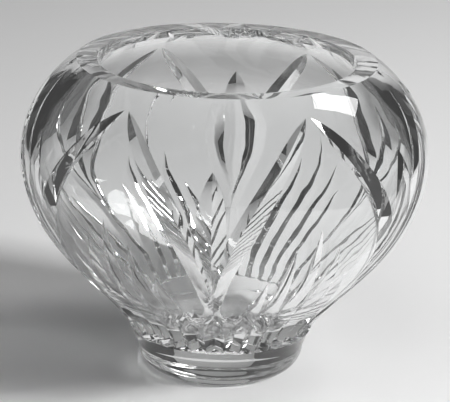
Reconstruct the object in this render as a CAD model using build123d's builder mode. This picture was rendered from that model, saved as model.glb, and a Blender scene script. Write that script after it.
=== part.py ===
from build123d import *
import os
from math import cos, pi, radians, sin, tan

# A rose bowl vase of clear cut crystal, one piece of glass. Millimetres, +Z up, origin at the middle of the underside.
# The pattern repeats six times round the bowl. The front faces -Y, and one of the tall leaves stands there.

# Overall size
rim_height = 130.0
belly_radius = 83.5

# Points of the outer wall's outline, each as shares of the belly's radius and of the rim's height
rim_shares = (0.726, 1.0)
shoulder_shares = (0.914, 0.877)
belly_shares = (1.0, 0.7)
waist_shares = (0.937, 0.523)
flank_shares = (0.726, 0.338)
neck_shares = (0.477, 0.154)
foot_shares = (0.416, 0.064)
heel_shares = (0.397, 0.025)
base_shares = (0.356, 0.0)

# How thick the wall is, and how far up the outer wall's outline each thickness is measured
shoulder_wall = 10.0
shoulder_wall_share = 0.90
belly_wall = 8.5
belly_wall_share = 0.73
flank_wall = 7.5
flank_wall_share = 0.42

# The rest of the hollow: the flat of its floor, the flat of the rim round the mouth and the bevel inside it
floor_thickness = 24.0
floor_radius = 12.0
rim_width = 8.1
lip_depth = 3.0
lip_width = 1.5

# The cutting wheels: the slope of their V-shaped edge, and how far a cutter stands clear of the glass
narrow_half_angle = 57.0
wide_half_angle = 62.0
overrun = 2.0
run_out = 0.5

# Where the cuts run, as shares of the way up the wall's outline from the foot to the rim, and in degrees round the bowl
repeats = 6
peak_share = 0.938
stroke_foot_share = 0.262
stroke_bend = 2.0
leaf_foot_share = 0.30
leaf_tip_share = 0.80
flutes_per_repeat = 6
flute_foot_share = 0.063
valley_flute_share = 0.455
outer_flute_share = 0.475
outer_flute_turn = 17.5
inner_flute_share = 0.59
inner_flute_turn = 23.5
peak_flute_share = 0.655

# How deep they go, and how that depth swells and fades along them
stroke_depth = 3.1
stroke_fullness = 0.45
leaf_depth = 3.4
leaf_fullness = 0.6
leaf_skew = 1.3
flute_depth = 3.0
flute_fullness = 0.6
flute_start = 0.5

half_turn = 360 / repeats / 2
flute_turn = 360 / repeats / flutes_per_repeat


def outline_point(shares):
    """A point of the outline, from its shares of the belly's radius and of the rim's height."""
    return shares[0] * belly_radius, shares[1] * rim_height


# The outline of the outer wall, from the foot up to the rim
outer_wall = Spline(
    outline_point(foot_shares),
    outline_point(neck_shares),
    outline_point(flank_shares),
    outline_point(waist_shares),
    outline_point(belly_shares),
    outline_point(shoulder_shares),
    outline_point(rim_shares),
)


def wall_at(share):
    """The outline's point that far up the wall, and the direction that is square to the wall there."""
    along = outer_wall % share
    return outer_wall @ share, Vector(along.Y, -along.X)


def inside(share, wall):
    """The point of the hollow's outline that lies one wall behind the outer wall's point."""
    point, outwards = wall_at(share)
    return point - outwards * wall


def wheel_cut(foot, tip, depth, half_angle, bend=1.0, start=0.0, fullness=0.5, skew=1.0, stations=6):
    """The glass that a V-edged wheel takes out on its way up the wall, from one (turn, share) to another."""
    valley_points = []
    outward_directions = []
    for station in range(stations):
        share = (1 - cos(pi * station / (stations - 1))) / 2
        turn = radians(foot[0] + (tip[0] - foot[0]) * share**bend)
        point, outwards = wall_at(foot[1] + (tip[1] - foot[1]) * share)
        swell = start + (1 - start) * share**skew
        sunk = (depth + run_out) * abs(sin(pi * swell)) ** fullness - run_out
        away = Vector(sin(turn), -cos(turn), 0)
        outward = away * outwards.X + Vector(0, 0, outwards.Y)
        valley_points.append(away * point.X + Vector(0, 0, point.Y) - outward * sunk)
        outward_directions.append(outward)
    valley = Spline(*valley_points)
    reach = depth + overrun
    half_width = reach * tan(radians(half_angle))
    with BuildPart(mode=Mode.PRIVATE) as cutter:
        for point, outward in zip(valley_points, outward_directions):
            along = valley % valley.param_at_point(point)
            with BuildSketch(Plane(origin=point, x_dir=outward, z_dir=along)):
                with BuildLine():
                    Polyline((0, 0), (reach, half_width), (reach, -half_width), close=True)
                make_face()
        loft()
    return cutter.part


def stroke_cut(valley_turn, side):
    """A long stroke from a peak down into the valley beside it."""
    foot = (valley_turn, stroke_foot_share)
    tip = (valley_turn + side * half_turn, peak_share)
    return wheel_cut(foot, tip, stroke_depth, narrow_half_angle, bend=stroke_bend, fullness=stroke_fullness, stations=7)


def leaf_cut(valley_turn):
    """The tall leaf in a valley."""
    foot = (valley_turn, leaf_foot_share)
    tip = (valley_turn, leaf_tip_share)
    return wheel_cut(foot, tip, leaf_depth, wide_half_angle, fullness=leaf_fullness, skew=leaf_skew)


def flute_cut(foot_turn, tip_turn, tip_share):
    """A flute that starts bluntly at the foot and ends in the tip of a small leaf."""
    foot = (foot_turn, flute_foot_share)
    tip = (tip_turn, tip_share)
    return wheel_cut(foot, tip, flute_depth, narrow_half_angle, start=flute_start, fullness=flute_fullness, stations=5)


strokes = []
leaves = []
valley_flutes = []
outer_flutes = []
inner_flutes = []
peak_flutes = []
for repeat in range(repeats):
    valley = repeat * 2 * half_turn
    peak = valley + half_turn
    leaves.append(leaf_cut(valley))
    valley_flutes.append(flute_cut(valley, valley, valley_flute_share))
    peak_flutes.append(flute_cut(peak, peak, peak_flute_share))
    for side in (-1, 1):
        strokes.append(stroke_cut(valley, side))
        outer_foot = valley + side * flute_turn
        outer_tip = valley + side * outer_flute_turn
        outer_flutes.append(flute_cut(outer_foot, outer_tip, outer_flute_share))
        inner_foot = valley + side * 2 * flute_turn
        inner_tip = valley + side * inner_flute_turn
        inner_flutes.append(flute_cut(inner_foot, inner_tip, inner_flute_share))

# The blank is turned as one piece, then the pattern is cut into it
with BuildPart() as glass_bowl:
    with BuildSketch(Plane.XZ):
        with BuildLine():
            base = outline_point(base_shares)
            mouth_radius = (outer_wall @ 1).X - rim_width
            Line((0, 0), base)
            Spline(base, outline_point(heel_shares), outer_wall @ 0)
            add(outer_wall)
            lip = Polyline(
                outer_wall @ 1,
                (mouth_radius, rim_height),
                (mouth_radius - lip_width, rim_height - lip_depth),
            )
            hollow = Spline(
                lip @ 1,
                inside(shoulder_wall_share, shoulder_wall),
                inside(belly_wall_share, belly_wall),
                inside(flank_wall_share, flank_wall),
                (floor_radius, floor_thickness),
            )
            Line(hollow @ 1, (0, floor_thickness))
            Line((0, floor_thickness), (0, 0))
        make_face()
    revolve(axis=Axis.Z)
    add(strokes, clean=False, mode=Mode.SUBTRACT)
    add(leaves, clean=False, mode=Mode.SUBTRACT)
    add(valley_flutes, clean=False, mode=Mode.SUBTRACT)
    add(peak_flutes, clean=False, mode=Mode.SUBTRACT)
    add(outer_flutes, clean=False, mode=Mode.SUBTRACT)
    add(inner_flutes, clean=False, mode=Mode.SUBTRACT)

glass_bowl.part.label = "glass_bowl"
os.makedirs("parts", exist_ok=True)
export_step(glass_bowl.part, "parts/glass_bowl.step")
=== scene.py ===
import math

import bpy
import numpy as np
from mathutils import Matrix, Vector


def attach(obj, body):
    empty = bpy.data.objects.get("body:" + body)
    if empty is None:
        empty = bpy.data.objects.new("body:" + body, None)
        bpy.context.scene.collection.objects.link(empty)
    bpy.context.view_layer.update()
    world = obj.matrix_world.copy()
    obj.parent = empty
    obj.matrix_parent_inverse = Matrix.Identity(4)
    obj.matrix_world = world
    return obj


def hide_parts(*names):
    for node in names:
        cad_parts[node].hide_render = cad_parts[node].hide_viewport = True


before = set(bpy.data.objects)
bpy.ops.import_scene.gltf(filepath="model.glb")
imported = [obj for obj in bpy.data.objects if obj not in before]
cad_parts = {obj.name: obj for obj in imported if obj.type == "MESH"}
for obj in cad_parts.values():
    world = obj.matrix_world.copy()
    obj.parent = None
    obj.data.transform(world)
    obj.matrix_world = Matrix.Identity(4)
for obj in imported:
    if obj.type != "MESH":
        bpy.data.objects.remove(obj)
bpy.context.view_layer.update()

# Overall size of the bowl, in metres as all lengths here are
RIM_HEIGHT = 0.130
BELLY_RADIUS = 0.0835

# Points of the outline, each as shares of the belly's radius and of the rim's height
RIM_SHARES = (0.726, 1.0)
SHOULDER_SHARES = (0.914, 0.877)
BELLY_SHARES = (1.0, 0.7)
WAIST_SHARES = (0.937, 0.523)
FLANK_SHARES = (0.726, 0.338)
NECK_SHARES = (0.477, 0.154)
FOOT_SHARES = (0.416, 0.064)
HEEL_SHARES = (0.397, 0.025)
BASE_SHARES = (0.356, 0.0)
HEEL_LINE_SHARES = (BASE_SHARES, HEEL_SHARES, FOOT_SHARES)
WALL_LINE_SHARES = (
    FOOT_SHARES, NECK_SHARES, FLANK_SHARES, WAIST_SHARES, BELLY_SHARES, SHOULDER_SHARES, RIM_SHARES
)

# The hollow: how far up the outer wall each thickness of the wall is measured, and the floor, rim and bevel
WALL_THICKNESSES = ((0.90, 0.010), (0.73, 0.0085), (0.42, 0.0075))
FLOOR_THICKNESS = 0.024
FLOOR_RADIUS = 0.012
RIM_WIDTH = 0.0081
LIP_DEPTH = 0.003
LIP_WIDTH = 0.0015

# The wheel cuts: how deep they go, how steep their sides are, and how they swell and fade
NARROW_HALF_ANGLE = 57.0
WIDE_HALF_ANGLE = 62.0
OVERRUN = 0.002
RUN_OUT = 0.0005
STROKE = {"depth": 0.0031, "half_angle": NARROW_HALF_ANGLE, "fullness": 0.45, "bend": 2.0, "stations": 7}
LEAF = {"depth": 0.0034, "half_angle": WIDE_HALF_ANGLE, "fullness": 0.6, "skew": 1.3, "stations": 6}
FLUTE = {"depth": 0.003, "half_angle": NARROW_HALF_ANGLE, "fullness": 0.6, "start": 0.5, "stations": 5}

# Where the cuts run, as shares of the way up the wall and in degrees round the bowl
REPEATS = 6
FLUTES_PER_REPEAT = 6
HALF_TURN = 360 / REPEATS / 2
FLUTE_TURN = 360 / REPEATS / FLUTES_PER_REPEAT
PEAK_SHARE = 0.938
STROKE_FOOT_SHARE = 0.262
LEAF_FOOT_SHARE = 0.30
LEAF_TIP_SHARE = 0.80
FLUTE_FOOT_SHARE = 0.063
VALLEY_FLUTE_SHARE = 0.455
OUTER_FLUTE_SHARE = 0.475
OUTER_FLUTE_TURN = 17.5
INNER_FLUTE_SHARE = 0.59
INNER_FLUTE_TURN = 23.5
PEAK_FLUTE_SHARE = 0.655

# How finely the mesh follows those shapes, and the angle in degrees from which an edge stays crisp
STEPS_AROUND = 600
STEPS_UP = 110
STEPS_HOLLOW = 50
STEPS_HEEL = 11
STEPS_FLAT = 3
RINGS_ALONG_CUT = 40
CORNERS_OF_CUT = 3
WALL_NUDGE = 1e-4
VALLEY_NUDGE = 1e-3
EDGE_ANGLE = 12.0

# Clear crystal, how often light may turn in it, and the faint waves of its polish, to a metre and high
GLASS_TINT = (0.985, 0.99, 0.99, 1.0)
GLASS_ROUGHNESS = 0.0
GLASS_IOR = 1.54
GLASS_TRANSMISSION = 1.0
GLASS_BOUNCES = 32
POLISH_WAVES = 70.0
POLISH_DETAIL = 1.0
POLISH_HEIGHT = 0.00012

# The pale sheet under the bowl, wider towards the back where it curves up, and the dark room round it
SWEEP_COLOUR = (0.80, 0.80, 0.80, 1.0)
SWEEP_ROUGHNESS = 0.6
SWEEP_WIDTH = 0.7
SWEEP_SPREAD = 0.2
SWEEP_FRONT = -1.5
SWEEP_BACK = 1.9
SWEEP_CURVE = 0.4
SWEEP_HEIGHT = 1.8
SWEEP_STEPS = 16
SWEEP_GAP = 0.0002
ROOM_COLOUR = (0.05, 0.05, 0.05, 1.0)

# The lamps: degrees round from the front and up, then metres off, wide and high, and watts
LAMP_AIM_SHARE = 0.8
SOFTBOX = {"azimuth": 117, "elevation": 48, "distance": 1.0, "width": 0.28, "height": 0.36, "power": 2.8}
KEY = {"azimuth": 74, "elevation": 34, "distance": 2.0, "width": 0.5, "height": 0.5, "power": 44.0}
FILL = {"azimuth": -20, "elevation": 60, "distance": 1.2, "width": 0.8, "height": 0.8, "power": 2.8}

# The camera stands where the photographer's did, in metres and degrees, lens and sensor in millimetres
CAMERA_DISTANCE = 0.850
CAMERA_HEIGHT = 0.3508
CAMERA_TURN = 3.1
CAMERA_YAW = -3.06
CAMERA_PITCH = 18.31
CAMERA_ROLL = 1.50
CAMERA_LENS = 174.0
SENSOR_WIDTH = 36.0


def chord_knots(points):
    """How far along its chords each point of a curve lies, from 0 to 1."""
    lengths = np.concatenate([[0], np.cumsum(np.linalg.norm(np.diff(points, axis=0), axis=1))])
    return lengths / lengths[-1]


def smooth_curve(rows, knots=None):
    """The cubic through rows of numbers, one cubic over its first two spans and one over its last two."""
    rows = np.asarray(rows, float)
    knots = chord_knots(rows) if knots is None else knots
    gaps = np.diff(knots)
    slopes = np.diff(rows, axis=0) / gaps[:, None]
    count = len(rows)
    matrix = np.zeros((count, count))
    right = np.zeros_like(rows)
    for row in range(1, count - 1):
        matrix[row, row - 1:row + 2] = gaps[row - 1], 2 * (gaps[row - 1] + gaps[row]), gaps[row]
        right[row] = 6 * (slopes[row] - slopes[row - 1])
    if count > 3:
        matrix[0, :3] = -gaps[1], gaps[0] + gaps[1], -gaps[0]
        matrix[-1, -3:] = -gaps[-1], gaps[-2] + gaps[-1], -gaps[-2]
    else:
        matrix[0, :2] = 1, -1
        matrix[-1, -2:] = -1, 1
    bends = np.linalg.solve(matrix, right)

    def at(share):
        place = np.clip(np.asarray(share, float), 0, 1)
        span = np.clip(np.searchsorted(knots, place, side="right") - 1, 0, count - 2)
        gap = gaps[span][..., None]
        low = (knots[span + 1] - place)[..., None] / gap
        high = (place - knots[span])[..., None] / gap
        bend = (low**3 - low) * bends[span] + (high**3 - high) * bends[span + 1]
        return low * rows[span] + high * rows[span + 1] + bend * gap * gap / 6

    return at


def direction(curve, share, nudge):
    """The way a curve runs at that share of it, from points a nudge before and after."""
    along = curve(min(share + nudge, 1)) - curve(max(share - nudge, 0))
    return along / np.linalg.norm(along)


def outline(shares):
    """Points of the outline, in metres from the axis and up."""
    return [(radius * BELLY_RADIUS, height * RIM_HEIGHT) for radius, height in shares]


outer_wall = smooth_curve(outline(WALL_LINE_SHARES))


def wall_at(share):
    """The outline's point that far up the wall, and the direction that is square to the wall there."""
    along = direction(outer_wall, share, WALL_NUDGE)
    return outer_wall(share), np.array([along[1], -along[0]])


def inside(share, thickness):
    """The point of the hollow's outline that lies one thickness behind the outer wall's point."""
    point, outwards = wall_at(share)
    return point - outwards * thickness


def profile():
    """Points of the turned blank from the middle of the underside to the middle of the hollow's floor."""
    base_radius = BASE_SHARES[0] * BELLY_RADIUS
    mouth_radius = RIM_SHARES[0] * BELLY_RADIUS - RIM_WIDTH
    lip_end = (mouth_radius - LIP_WIDTH, RIM_HEIGHT - LIP_DEPTH)
    hollow_points = [inside(share, thickness) for share, thickness in WALL_THICKNESSES]
    heel_curve = smooth_curve(outline(HEEL_LINE_SHARES))
    hollow_curve = smooth_curve([lip_end, *hollow_points, (FLOOR_RADIUS, FLOOR_THICKNESS)])
    underside = [(base_radius * step / STEPS_FLAT, 0.0) for step in range(1, STEPS_FLAT)]
    heel = heel_curve(np.linspace(0, 1, STEPS_HEEL))
    wall = outer_wall(np.linspace(0, 1, STEPS_UP + 1))
    hollow = hollow_curve(np.linspace(0, 1, STEPS_HOLLOW + 1))
    floor = [(FLOOR_RADIUS * step / STEPS_FLAT, FLOOR_THICKNESS) for step in range(STEPS_FLAT - 1, 0, -1)]
    return np.concatenate([underside, heel, wall[1:], [(mouth_radius, RIM_HEIGHT)], hollow, floor])


def new_object(name, vertices, faces):
    """An object in the scene with a mesh of those vertices and faces."""
    mesh = bpy.data.meshes.new(name)
    mesh.from_pydata(np.asarray(vertices).tolist(), [], faces)
    made = bpy.data.objects.new(name, mesh)
    bpy.context.scene.collection.objects.link(made)
    return made


def turned_blank(points):
    """The blank, turned round the axis."""
    turns = np.linspace(0, 2 * math.pi, STEPS_AROUND, endpoint=False)
    radius = points[:, :1]
    height = np.repeat(points[:, 1:], STEPS_AROUND, axis=1)
    rings = np.stack([radius * np.sin(turns), -radius * np.cos(turns), height], axis=-1).reshape(-1, 3)
    middles = [(0, 0, 0), (0, 0, FLOOR_THICKNESS)]
    faces = []
    for ring in range(len(points) - 1):
        below = ring * STEPS_AROUND
        above = below + STEPS_AROUND
        for step in range(STEPS_AROUND):
            after = (step + 1) % STEPS_AROUND
            faces.append((below + step, below + after, above + after, above + step))
    underside = len(rings)
    floor = underside + 1
    last = (len(points) - 1) * STEPS_AROUND
    for step in range(STEPS_AROUND):
        after = (step + 1) % STEPS_AROUND
        faces.append((underside, after, step))
        faces.append((floor, last + step, last + after))
    return new_object("bowl", np.concatenate([rings, middles]), faces)


def cut_bottom(foot, tip, depth, fullness, bend, start, skew, stations):
    """Points along the bottom of a cut, and beside each the direction that is square to the wall."""
    valley_points = []
    outward_directions = []
    for station in range(stations):
        share = (1 - math.cos(math.pi * station / (stations - 1))) / 2
        turn = math.radians(foot[0] + (tip[0] - foot[0]) * share**bend)
        point, outwards = wall_at(foot[1] + (tip[1] - foot[1]) * share)
        swell = start + (1 - start) * share**skew
        sunk = (depth + RUN_OUT) * abs(math.sin(math.pi * swell)) ** fullness - RUN_OUT
        away = np.array([math.sin(turn), -math.cos(turn), 0])
        outward = away * outwards[0] + np.array([0, 0, outwards[1]])
        valley_points.append(away * point[0] + np.array([0, 0, point[1]]) - outward * sunk)
        outward_directions.append(outward)
    return valley_points, outward_directions


def swept_wedge(valley_points, outward_directions, reach, half_width):
    """A wedge that is swept with its edge along the bottom of a cut and its back clear of the glass."""
    valley = smooth_curve(valley_points)
    knots = chord_knots(valley_points)
    sections = []
    for point, outward, knot in zip(valley_points, outward_directions, knots):
        along = direction(valley, knot, VALLEY_NUDGE)
        up = outward - along * (outward @ along)
        up /= np.linalg.norm(up)
        sideways = np.cross(along, up)
        one_side = point + up * reach + sideways * half_width
        other_side = point + up * reach - sideways * half_width
        sections.append([*point, *one_side, *other_side])
    corners = smooth_curve(sections, knots)(np.linspace(0, 1, RINGS_ALONG_CUT)).reshape(-1, 3)
    faces = [(0, 1, 2)]
    for ring in range(RINGS_ALONG_CUT - 1):
        below = CORNERS_OF_CUT * ring
        above = below + CORNERS_OF_CUT
        for corner in range(CORNERS_OF_CUT):
            after = (corner + 1) % CORNERS_OF_CUT
            faces.append((below + corner, above + corner, above + after, below + after))
    end = CORNERS_OF_CUT * (RINGS_ALONG_CUT - 1)
    faces.append((end, end + 2, end + 1))
    return new_object("cut", corners, faces)


def wheel_cut(foot, tip, depth, half_angle, fullness, bend=1.0, start=0.0, skew=1.0, stations=6):
    """The glass that a V-edged wheel takes out on its way up the wall, from one (turn, share) to another."""
    valley_points, outward_directions = cut_bottom(foot, tip, depth, fullness, bend, start, skew, stations)
    reach = depth + OVERRUN
    half_width = reach * math.tan(math.radians(half_angle))
    return swept_wedge(valley_points, outward_directions, reach, half_width)


def leaf_cut(turn):
    """The tall leaf in a valley."""
    return wheel_cut((turn, LEAF_FOOT_SHARE), (turn, LEAF_TIP_SHARE), **LEAF)


def stroke_cut(valley_turn, peak_turn):
    """A long stroke from a peak down into the valley beside it."""
    return wheel_cut((valley_turn, STROKE_FOOT_SHARE), (peak_turn, PEAK_SHARE), **STROKE)


def flute_cut(foot_turn, tip_turn, tip_share):
    """A flute that starts bluntly at the foot and ends in the tip of a small leaf."""
    return wheel_cut((foot_turn, FLUTE_FOOT_SHARE), (tip_turn, tip_share), **FLUTE)


def pattern_cuts():
    """All cuts of the pattern: a leaf, two strokes and six flutes to each repeat."""
    cuts = []
    for repeat in range(REPEATS):
        valley = repeat * 2 * HALF_TURN
        peak = valley + HALF_TURN
        cuts.append(leaf_cut(valley))
        cuts.append(flute_cut(valley, valley, VALLEY_FLUTE_SHARE))
        cuts.append(flute_cut(peak, peak, PEAK_FLUTE_SHARE))
        for side in (-1, 1):
            outer_foot = valley + side * FLUTE_TURN
            outer_tip = valley + side * OUTER_FLUTE_TURN
            inner_foot = valley + side * 2 * FLUTE_TURN
            inner_tip = valley + side * INNER_FLUTE_TURN
            cuts.append(stroke_cut(valley, valley + side * HALF_TURN))
            cuts.append(flute_cut(outer_foot, outer_tip, OUTER_FLUTE_SHARE))
            cuts.append(flute_cut(inner_foot, inner_tip, INNER_FLUTE_SHARE))
    return cuts


def take_out(cuts, bowl):
    """Takes the cuts out of the bowl's mesh and deletes them."""
    group = bpy.data.collections.new("cuts")
    bpy.context.scene.collection.children.link(group)
    for cut in cuts:
        bpy.context.scene.collection.objects.unlink(cut)
        group.objects.link(cut)
    modifier = bowl.modifiers.new("pattern", "BOOLEAN")
    modifier.operation = "DIFFERENCE"
    modifier.operand_type = "COLLECTION"
    modifier.collection = group
    modifier.solver = "MANIFOLD"
    bpy.context.view_layer.update()
    cut_mesh = bpy.data.meshes.new_from_object(bowl.evaluated_get(bpy.context.evaluated_depsgraph_get()))
    bowl.modifiers.clear()
    bowl.data = cut_mesh
    for cut in cuts:
        bpy.data.objects.remove(cut)
    bpy.data.collections.remove(group)


def make_bowl():
    """The blank with the pattern cut into it, its cut edges crisp and the rest smooth."""
    bowl = turned_blank(profile())
    take_out(pattern_cuts(), bowl)
    bowl.data.polygons.foreach_set("use_smooth", [True] * len(bowl.data.polygons))
    bowl.data.set_sharp_from_angle(angle=math.radians(EDGE_ANGLE))
    bowl.data.materials.clear()
    bowl.data.materials.append(crystal_material())
    return bowl


def new_material(name, colour, roughness):
    """A material of one Principled shader, and that shader."""
    material = bpy.data.materials.new(name)
    material.use_nodes = True
    shader = material.node_tree.nodes["Principled BSDF"]
    shader.inputs["Base Color"].default_value = colour
    shader.inputs["Roughness"].default_value = roughness
    return material, shader


def add_polish_waves(tree, shader):
    """Faint waves that hand polishing leaves on the glass."""
    place = tree.nodes.new("ShaderNodeTexCoord")
    waves = tree.nodes.new("ShaderNodeTexNoise")
    waves.inputs["Scale"].default_value = POLISH_WAVES
    waves.inputs["Detail"].default_value = POLISH_DETAIL
    bump = tree.nodes.new("ShaderNodeBump")
    bump.inputs["Distance"].default_value = POLISH_HEIGHT
    tree.links.new(place.outputs["Object"], waves.inputs["Vector"])
    tree.links.new(waves.outputs["Fac"], bump.inputs["Height"])
    tree.links.new(bump.outputs["Normal"], shader.inputs["Normal"])


def crystal_material():
    """Polished clear crystal."""
    material, shader = new_material("cut_crystal", GLASS_TINT, GLASS_ROUGHNESS)
    shader.inputs["IOR"].default_value = GLASS_IOR
    shader.inputs["Transmission Weight"].default_value = GLASS_TRANSMISSION
    add_polish_waves(material.node_tree, shader)
    return material


def add_sweep():
    """The sheet that lies under the bowl and curves up behind it."""
    line = [(SWEEP_FRONT, -SWEEP_GAP), (0.0, -SWEEP_GAP)]
    for step in range(SWEEP_STEPS + 1):
        angle = math.pi / 2 * step / SWEEP_STEPS
        back = SWEEP_BACK + SWEEP_CURVE * math.sin(angle)
        line.append((back, SWEEP_CURVE * (1 - math.cos(angle)) - SWEEP_GAP))
    line.append((SWEEP_BACK + SWEEP_CURVE, SWEEP_HEIGHT))
    vertices = []
    for back, height in line:
        half_width = SWEEP_WIDTH / 2 + SWEEP_SPREAD * max(back, 0.0)
        vertices += [(-half_width, back, height), (half_width, back, height)]
    faces = [(2 * row, 2 * row + 1, 2 * row + 3, 2 * row + 2) for row in range(len(line) - 1)]
    sweep = new_object("sweep", vertices, faces)
    sweep.data.polygons.foreach_set("use_smooth", [True] * len(faces))
    paper, _ = new_material("pale_floor", SWEEP_COLOUR, SWEEP_ROUGHNESS)
    sweep.data.materials.append(paper)


def add_room():
    """The dark room round the sheet, which gives the glass its dark strokes."""
    world = bpy.data.worlds.new("world")
    bpy.context.scene.world = world
    world.use_nodes = True
    world.node_tree.nodes["Background"].inputs["Color"].default_value = ROOM_COLOUR


def heading(turn, rise):
    """The direction that many radians round from straight ahead, which is +Y, and up."""
    return Vector((math.sin(turn) * math.cos(rise), math.cos(turn) * math.cos(rise), math.sin(rise)))


def add_lamp(name, azimuth, elevation, distance, width, height, power, mirrored):
    """A soft lamp that faces the bowl and is mirrored in its glass or not."""
    away = heading(math.pi - math.radians(azimuth), math.radians(elevation))
    data = bpy.data.lights.new(name, "AREA")
    data.shape = "RECTANGLE"
    data.size = width
    data.size_y = height
    data.energy = power
    lamp = bpy.data.objects.new(name, data)
    lamp.location = Vector((0, 0, RIM_HEIGHT * LAMP_AIM_SHARE)) + away * distance
    lamp.rotation_euler = away.to_track_quat("Z", "Y").to_euler()
    lamp.visible_glossy = mirrored
    lamp.visible_transmission = mirrored
    bpy.context.scene.collection.objects.link(lamp)


def add_camera():
    """The camera, at the photo's angle."""
    turn = math.radians(CAMERA_TURN)
    yaw = math.radians(CAMERA_YAW)
    roll = math.radians(CAMERA_ROLL)
    place = Vector((CAMERA_DISTANCE * math.sin(turn), -CAMERA_DISTANCE * math.cos(turn), CAMERA_HEIGHT))
    forward = heading(yaw, -math.radians(CAMERA_PITCH))
    level_right = Vector((math.cos(yaw), -math.sin(yaw), 0))
    level_up = level_right.cross(forward)
    right = level_right * math.cos(roll) + level_up * math.sin(roll)
    up = level_up * math.cos(roll) - level_right * math.sin(roll)
    data = bpy.data.cameras.new("camera")
    data.sensor_width = SENSOR_WIDTH
    data.lens = CAMERA_LENS
    camera = bpy.data.objects.new("camera", data)
    camera.matrix_world = Matrix.Translation(place) @ Matrix((right, up, -forward)).transposed().to_4x4()
    bpy.context.scene.collection.objects.link(camera)
    bpy.context.scene.camera = camera


def let_light_through_glass():
    """Light crosses many facets before it leaves cut glass, so it gets more turns than Blender gives it."""
    cycles = bpy.context.scene.cycles
    cycles.max_bounces = GLASS_BOUNCES
    cycles.glossy_bounces = GLASS_BOUNCES
    cycles.transmission_bounces = GLASS_BOUNCES
    cycles.blur_glossy = 0.0


bpy.context.scene.view_settings.view_transform = "Standard"
let_light_through_glass()
add_camera()
add_sweep()
add_room()
add_lamp("softbox", **SOFTBOX, mirrored=True)
add_lamp("key", **KEY, mirrored=False)
add_lamp("fill", **FILL, mirrored=False)

bowl = make_bowl()
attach(bowl, "root")
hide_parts("glass_bowl")
